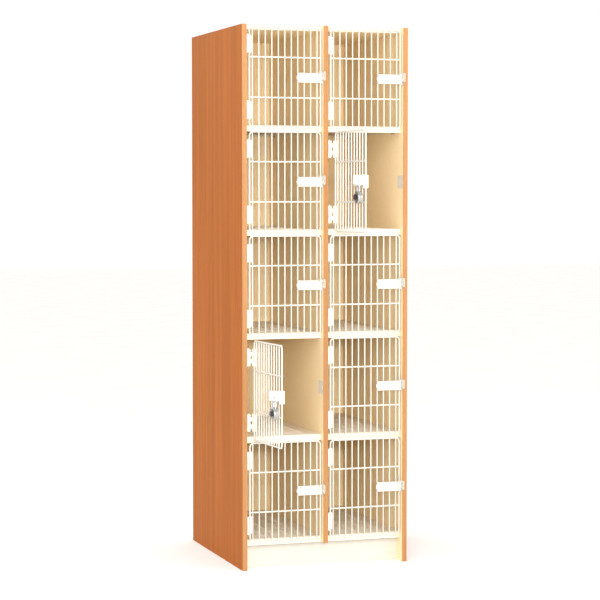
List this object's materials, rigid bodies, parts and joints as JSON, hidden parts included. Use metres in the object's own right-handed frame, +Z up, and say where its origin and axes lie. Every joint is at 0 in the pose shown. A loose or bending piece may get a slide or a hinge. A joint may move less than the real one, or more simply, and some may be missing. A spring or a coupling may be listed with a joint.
{
  "type": "grille door locker",
  "caption": "Tall wood-laminate locker with two columns of compartments behind hinged wire grille doors, each with a sliding latch and a padlock ear.",
  "frame": {"origin": "on the floor under the middle of the case", "axes": "+X to the right across the front, +Y from the front to the back, +Z up"},
  "size_m": [0.6922, 1.0886, 2.1495],
  "materials": {
    "laminate_outer": "satin wood-grain laminate",
    "laminate_inner": "almond melamine",
    "kick_laminate": "cream laminate",
    "raw_board": "bare particle board",
    "edge_band": "satin wood-grain edge band",
    "moulded_shelf": "moulded polyethylene",
    "zinc_steel": "zinc plated",
    "coated_steel": "gloss powder coat",
    "chrome_steel": "polished",
    "stainless_case": "brushed stainless",
    "black_dial": "gloss black with white divisions"
  },
  "bodies": {
    "case": {"side_panel_left": "laminate_outer", "side_panel_right": "laminate_outer", "centre_divider": "laminate_outer", "top_panel": "laminate_inner", "back_panel": "laminate_inner", "toe_kick": "kick_laminate", "rear_plinth": "raw_board", "centre_plinth": "raw_board", "rear_rail_top": "raw_board", "rear_rails_lower": "raw_board", "case_dowels": "raw_board", "shelf_pins": "zinc_steel", "front_edge_bands": "edge_band", "shelves_left": "moulded_shelf", "shelves_right": "moulded_shelf", "levelling_feet": "zinc_steel", "leveller_brackets": "zinc_steel", "hinge_leaves": "coated_steel", "hinge_pins": "coated_steel", "hinge_screws": "coated_steel", "strike_plates": "coated_steel", "strike_screws": "coated_steel"},
    "door_L1": {"door_grille_L1": "coated_steel", "latch_channel_L1": "coated_steel"},
    "bolt_L1": {"latch_bolt_L1": "coated_steel"},
    "door_L2": {"door_grille_L2": "coated_steel", "latch_channel_L2": "coated_steel"},
    "bolt_L2": {"latch_bolt_L2": "coated_steel"},
    "door_L3": {"door_grille_L3": "coated_steel", "latch_channel_L3": "coated_steel"},
    "bolt_L3": {"latch_bolt_L3": "coated_steel"},
    "door_L4": {"door_grille_L4": "coated_steel", "latch_channel_L4": "coated_steel"},
    "bolt_L4": {"latch_bolt_L4": "coated_steel"},
    "door_L5": {"door_grille_L5": "coated_steel", "latch_channel_L5": "coated_steel"},
    "bolt_L5": {"latch_bolt_L5": "coated_steel"},
    "door_R1": {"door_grille_R1": "coated_steel", "latch_channel_R1": "coated_steel"},
    "bolt_R1": {"latch_bolt_R1": "coated_steel"},
    "door_R2": {"door_grille_R2": "coated_steel", "latch_channel_R2": "coated_steel"},
    "bolt_R2": {"latch_bolt_R2": "coated_steel"},
    "door_R3": {"door_grille_R3": "coated_steel", "latch_channel_R3": "coated_steel"},
    "bolt_R3": {"latch_bolt_R3": "coated_steel"},
    "door_R4": {"door_grille_R4": "coated_steel", "latch_channel_R4": "coated_steel"},
    "bolt_R4": {"latch_bolt_R4": "coated_steel"},
    "door_R5": {"door_grille_R5": "coated_steel", "latch_channel_R5": "coated_steel"},
    "bolt_R5": {"latch_bolt_R5": "coated_steel"},
    "shackle_L4": {"padlock_shackle_L4": "chrome_steel"},
    "padlock_L4": {"padlock_case_L4": "stainless_case"},
    "dial_L4": {"padlock_dial_L4": "black_dial"},
    "shackle_R2": {"padlock_shackle_R2": "chrome_steel"},
    "padlock_R2": {"padlock_case_R2": "stainless_case"},
    "dial_R2": {"padlock_dial_R2": "black_dial"}
  },
  "joints": [
    {"name": "door_L1_hinge", "type": "hinge", "parent": "case", "child": "door_L1", "pos_m": [-0.32353, -0.37675, 1.94471], "axis": [0, 0, -1], "range_deg": [0, 120]},
    {"name": "bolt_L1_slide", "type": "slide", "parent": "door_L1", "child": "bolt_L1", "axis": [1, 0, 0], "range_m": [0, 0.015]},
    {"name": "door_L2_hinge", "type": "hinge", "parent": "case", "child": "door_L2", "pos_m": [-0.32353, -0.37675, 1.53513], "axis": [0, 0, -1], "range_deg": [0, 120]},
    {"name": "bolt_L2_slide", "type": "slide", "parent": "door_L2", "child": "bolt_L2", "axis": [1, 0, 0], "range_m": [0, 0.015]},
    {"name": "door_L3_hinge", "type": "hinge", "parent": "case", "child": "door_L3", "pos_m": [-0.32353, -0.37675, 1.12555], "axis": [0, 0, -1], "range_deg": [0, 120]},
    {"name": "bolt_L3_slide", "type": "slide", "parent": "door_L3", "child": "bolt_L3", "axis": [1, 0, 0], "range_m": [0, 0.015]},
    {"name": "door_L4_hinge", "type": "hinge", "parent": "case", "child": "door_L4", "pos_m": [-0.32353, -0.37675, 0.71597], "axis": [0, 0, -1], "range_deg": [-86, 34]},
    {"name": "bolt_L4_slide", "type": "slide", "parent": "door_L4", "child": "bolt_L4", "axis": [0.0698, -0.9976, 0], "range_m": [0, 0.003]},
    {"name": "door_L5_hinge", "type": "hinge", "parent": "case", "child": "door_L5", "pos_m": [-0.32353, -0.37675, 0.30639], "axis": [0, 0, -1], "range_deg": [0, 120]},
    {"name": "bolt_L5_slide", "type": "slide", "parent": "door_L5", "child": "bolt_L5", "axis": [1, 0, 0], "range_m": [0, 0.015]},
    {"name": "door_R1_hinge", "type": "hinge", "parent": "case", "child": "door_R1", "pos_m": [0.01303, -0.37675, 1.94471], "axis": [0, 0, -1], "range_deg": [0, 120]},
    {"name": "bolt_R1_slide", "type": "slide", "parent": "door_R1", "child": "bolt_R1", "axis": [1, 0, 0], "range_m": [0, 0.015]},
    {"name": "door_R2_hinge", "type": "hinge", "parent": "case", "child": "door_R2", "pos_m": [0.01303, -0.37675, 1.53513], "axis": [0, 0, -1], "range_deg": [-86, 34]},
    {"name": "bolt_R2_slide", "type": "slide", "parent": "door_R2", "child": "bolt_R2", "axis": [0.0698, -0.9976, 0], "range_m": [0, 0.003]},
    {"name": "door_R3_hinge", "type": "hinge", "parent": "case", "child": "door_R3", "pos_m": [0.01303, -0.37675, 1.12555], "axis": [0, 0, -1], "range_deg": [0, 120]},
    {"name": "bolt_R3_slide", "type": "slide", "parent": "door_R3", "child": "bolt_R3", "axis": [1, 0, 0], "range_m": [0, 0.015]},
    {"name": "door_R4_hinge", "type": "hinge", "parent": "case", "child": "door_R4", "pos_m": [0.01303, -0.37675, 0.71597], "axis": [0, 0, -1], "range_deg": [0, 120]},
    {"name": "bolt_R4_slide", "type": "slide", "parent": "door_R4", "child": "bolt_R4", "axis": [1, 0, 0], "range_m": [0, 0.015]},
    {"name": "door_R5_hinge", "type": "hinge", "parent": "case", "child": "door_R5", "pos_m": [0.01303, -0.37675, 0.30639], "axis": [0, 0, -1], "range_deg": [0, 120]},
    {"name": "bolt_R5_slide", "type": "slide", "parent": "door_R5", "child": "bolt_R5", "axis": [1, 0, 0], "range_m": [0, 0.015]},
    {"name": "padlock_L4_swing", "type": "hinge", "parent": "door_L4", "child": "shackle_L4", "pos_m": [-0.31229, -0.68796, 0.71597], "axis": [-0.0698, 0.9976, 0], "range_deg": [0, 45]},
    {"name": "padlock_L4_close", "type": "slide", "parent": "shackle_L4", "child": "padlock_L4", "axis": [0, 0, 1], "range_m": [0, 0.012]},
    {"name": "dial_L4_turn", "type": "hinge", "parent": "padlock_L4", "child": "dial_L4", "pos_m": [-0.32227, -0.68865, 0.65572], "axis": [-0.9976, -0.0698, 0], "continuous": true},
    {"name": "padlock_R2_swing", "type": "hinge", "parent": "door_R2", "child": "shackle_R2", "pos_m": [0.02426, -0.68796, 1.53513], "axis": [-0.0698, 0.9976, 0], "range_deg": [0, 45]},
    {"name": "padlock_R2_close", "type": "slide", "parent": "shackle_R2", "child": "padlock_R2", "axis": [0, 0, 1], "range_m": [0, 0.012]},
    {"name": "dial_R2_turn", "type": "hinge", "parent": "padlock_R2", "child": "dial_R2", "pos_m": [0.01429, -0.68865, 1.47488], "axis": [-0.9976, -0.0698, 0], "continuous": true}
  ]
}
